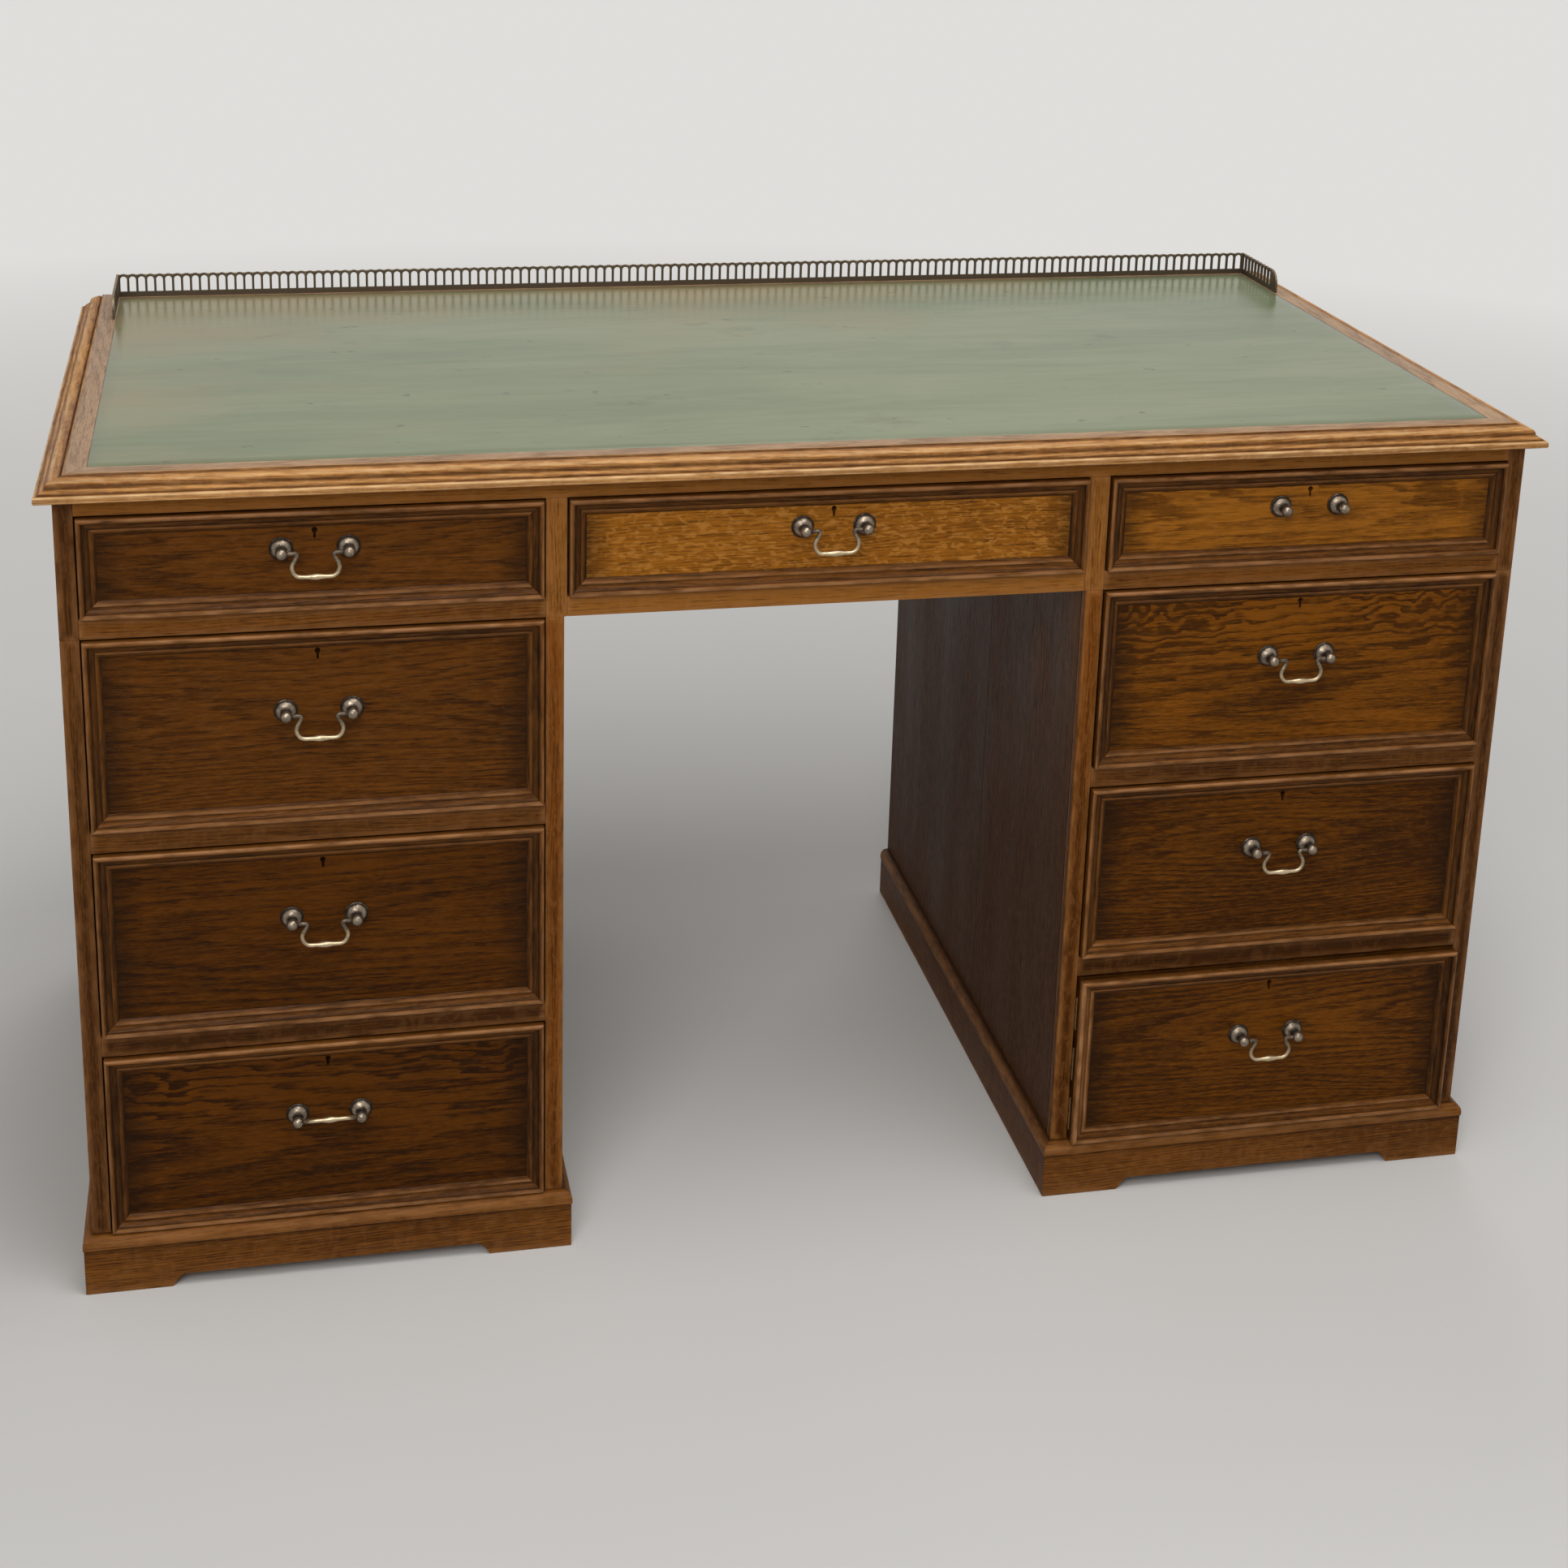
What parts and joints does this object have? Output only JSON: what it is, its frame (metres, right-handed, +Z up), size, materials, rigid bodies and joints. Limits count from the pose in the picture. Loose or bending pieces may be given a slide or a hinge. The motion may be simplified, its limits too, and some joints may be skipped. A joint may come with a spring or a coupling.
{
  "type": "library desk",
  "caption": "Oak twin-pedestal writing desk with leather-lined top, low pierced gallery, moulded drawer fronts with swan-neck bail handles and plinth bases.",
  "frame": {"origin": "centre of the footprint of the whole desk at rest, on the floor", "axes": "+X to the sitter's right along the top, +Y from the drawer fronts to the back, +Z up"},
  "size_m": [1.37, 0.6884, 0.805],
  "materials": {
    "oak_carcase": "waxed",
    "oak_top": "waxed",
    "oak_front": "waxed",
    "drawer_lining": "bare",
    "secondary_wood": "bare",
    "writing_leather": "worn",
    "gallery_brass": "aged",
    "handle_brass": "aged",
    "bail_brass": "worn"
  },
  "bodies": {
    "desk_carcase": {"top_panel": "oak_top", "top_edge_moulding": "oak_top", "leather_inset": "writing_leather", "gallery": "gallery_brass", "frieze_ends": "oak_carcase", "frieze_dividers": "oak_carcase", "frieze_rails": "oak_carcase", "frieze_runners": "secondary_wood", "frieze_back": "secondary_wood", "locating_tenons": "secondary_wood", "drawer_stops": "secondary_wood", "left_pedestal_outer_side": "oak_carcase", "left_pedestal_inner_side": "oak_carcase", "left_pedestal_back": "secondary_wood", "left_pedestal_rails": "oak_carcase", "left_pedestal_runners": "secondary_wood", "left_pedestal_boards": "secondary_wood", "left_pedestal_plinth": "oak_carcase", "right_pedestal_outer_side": "oak_carcase", "right_pedestal_inner_side": "oak_carcase", "right_pedestal_back": "secondary_wood", "right_pedestal_rails": "oak_carcase", "right_pedestal_runners": "secondary_wood", "right_pedestal_boards": "secondary_wood", "right_pedestal_plinth": "oak_carcase"},
    "frieze_left_drawer": {"frieze_left_front": "oak_front", "frieze_left_box": "drawer_lining", "frieze_left_fittings": "handle_brass"},
    "frieze_left_drawer_bail": {"frieze_left_bail": "bail_brass"},
    "frieze_centre_drawer": {"frieze_centre_front": "oak_front", "frieze_centre_box": "drawer_lining", "frieze_centre_fittings": "handle_brass"},
    "frieze_centre_drawer_bail": {"frieze_centre_bail": "bail_brass"},
    "frieze_right_drawer": {"frieze_right_front": "oak_front", "frieze_right_box": "drawer_lining", "frieze_right_fittings": "handle_brass"},
    "left_drawer_1": {"left_drawer_1_front": "oak_front", "left_drawer_1_box": "drawer_lining", "left_drawer_1_fittings": "handle_brass"},
    "left_drawer_1_bail": {"left_drawer_1_bail": "bail_brass"},
    "left_drawer_2": {"left_drawer_2_front": "oak_front", "left_drawer_2_box": "drawer_lining", "left_drawer_2_fittings": "handle_brass"},
    "left_drawer_2_bail": {"left_drawer_2_bail": "bail_brass"},
    "left_drawer_3": {"left_drawer_3_front": "oak_front", "left_drawer_3_box": "drawer_lining", "left_drawer_3_fittings": "handle_brass"},
    "left_drawer_3_bail": {"left_drawer_3_bail": "bail_brass"},
    "right_drawer_1": {"right_drawer_1_front": "oak_front", "right_drawer_1_box": "drawer_lining", "right_drawer_1_fittings": "handle_brass"},
    "right_drawer_1_bail": {"right_drawer_1_bail": "bail_brass"},
    "right_drawer_2": {"right_drawer_2_front": "oak_front", "right_drawer_2_box": "drawer_lining", "right_drawer_2_fittings": "handle_brass"},
    "right_drawer_2_bail": {"right_drawer_2_bail": "bail_brass"},
    "right_drawer_3": {"right_drawer_3_front": "oak_front", "right_drawer_3_box": "drawer_lining", "right_drawer_3_fittings": "handle_brass"},
    "right_drawer_3_bail": {"right_drawer_3_bail": "bail_brass"}
  },
  "joints": [
    {"name": "frieze_left_drawer_slide", "type": "slide", "parent": "desk_carcase", "child": "frieze_left_drawer", "axis": [0, -1, 0], "range_m": [0, 0.45]},
    {"name": "frieze_left_drawer_bail_hinge", "type": "hinge", "parent": "frieze_left_drawer", "child": "frieze_left_drawer_bail", "pos_m": [-0.4565, -0.32283, 0.7086], "axis": [-1, 0, 0], "range_deg": [-32, 180]},
    {"name": "frieze_centre_drawer_slide", "type": "slide", "parent": "desk_carcase", "child": "frieze_centre_drawer", "axis": [0, -1, 0], "range_m": [0, 0.45]},
    {"name": "frieze_centre_drawer_bail_hinge", "type": "hinge", "parent": "frieze_centre_drawer", "child": "frieze_centre_drawer_bail", "pos_m": [0, -0.32283, 0.7086], "axis": [-1, 0, 0], "range_deg": [-32, 180]},
    {"name": "frieze_right_drawer_slide", "type": "slide", "parent": "desk_carcase", "child": "frieze_right_drawer", "axis": [0, -1, 0], "range_m": [0, 0.45]},
    {"name": "left_drawer_1_slide", "type": "slide", "parent": "desk_carcase", "child": "left_drawer_1", "axis": [0, -1, 0], "range_m": [0, 0.45]},
    {"name": "left_drawer_1_bail_hinge", "type": "hinge", "parent": "left_drawer_1", "child": "left_drawer_1_bail", "pos_m": [-0.4565, -0.32283, 0.5596], "axis": [-1, 0, 0], "range_deg": [-32, 180]},
    {"name": "left_drawer_2_slide", "type": "slide", "parent": "desk_carcase", "child": "left_drawer_2", "axis": [0, -1, 0], "range_m": [0, 0.45]},
    {"name": "left_drawer_2_bail_hinge", "type": "hinge", "parent": "left_drawer_2", "child": "left_drawer_2_bail", "pos_m": [-0.4565, -0.32283, 0.3606], "axis": [-1, 0, 0], "range_deg": [-32, 180]},
    {"name": "left_drawer_3_slide", "type": "slide", "parent": "desk_carcase", "child": "left_drawer_3", "axis": [0, -1, 0], "range_m": [0, 0.45]},
    {"name": "left_drawer_3_bail_hinge", "type": "hinge", "parent": "left_drawer_3", "child": "left_drawer_3_bail", "pos_m": [-0.4565, -0.32283, 0.1616], "axis": [-1, 0, 0], "range_deg": [-154, 58]},
    {"name": "right_drawer_1_slide", "type": "slide", "parent": "desk_carcase", "child": "right_drawer_1", "axis": [0, -1, 0], "range_m": [0, 0.45]},
    {"name": "right_drawer_1_bail_hinge", "type": "hinge", "parent": "right_drawer_1", "child": "right_drawer_1_bail", "pos_m": [0.4565, -0.32283, 0.5596], "axis": [-1, 0, 0], "range_deg": [-32, 180]},
    {"name": "right_drawer_2_slide", "type": "slide", "parent": "desk_carcase", "child": "right_drawer_2", "axis": [0, -1, 0], "range_m": [0, 0.45]},
    {"name": "right_drawer_2_bail_hinge", "type": "hinge", "parent": "right_drawer_2", "child": "right_drawer_2_bail", "pos_m": [0.4565, -0.32283, 0.3606], "axis": [-1, 0, 0], "range_deg": [-32, 180]},
    {"name": "right_drawer_3_slide", "type": "slide", "parent": "desk_carcase", "child": "right_drawer_3", "axis": [0, -1, 0], "range_m": [-0.008, 0.442]},
    {"name": "right_drawer_3_bail_hinge", "type": "hinge", "parent": "right_drawer_3", "child": "right_drawer_3_bail", "pos_m": [0.4565, -0.33083, 0.1616], "axis": [-1, 0, 0], "range_deg": [-32, 180]}
  ]
}
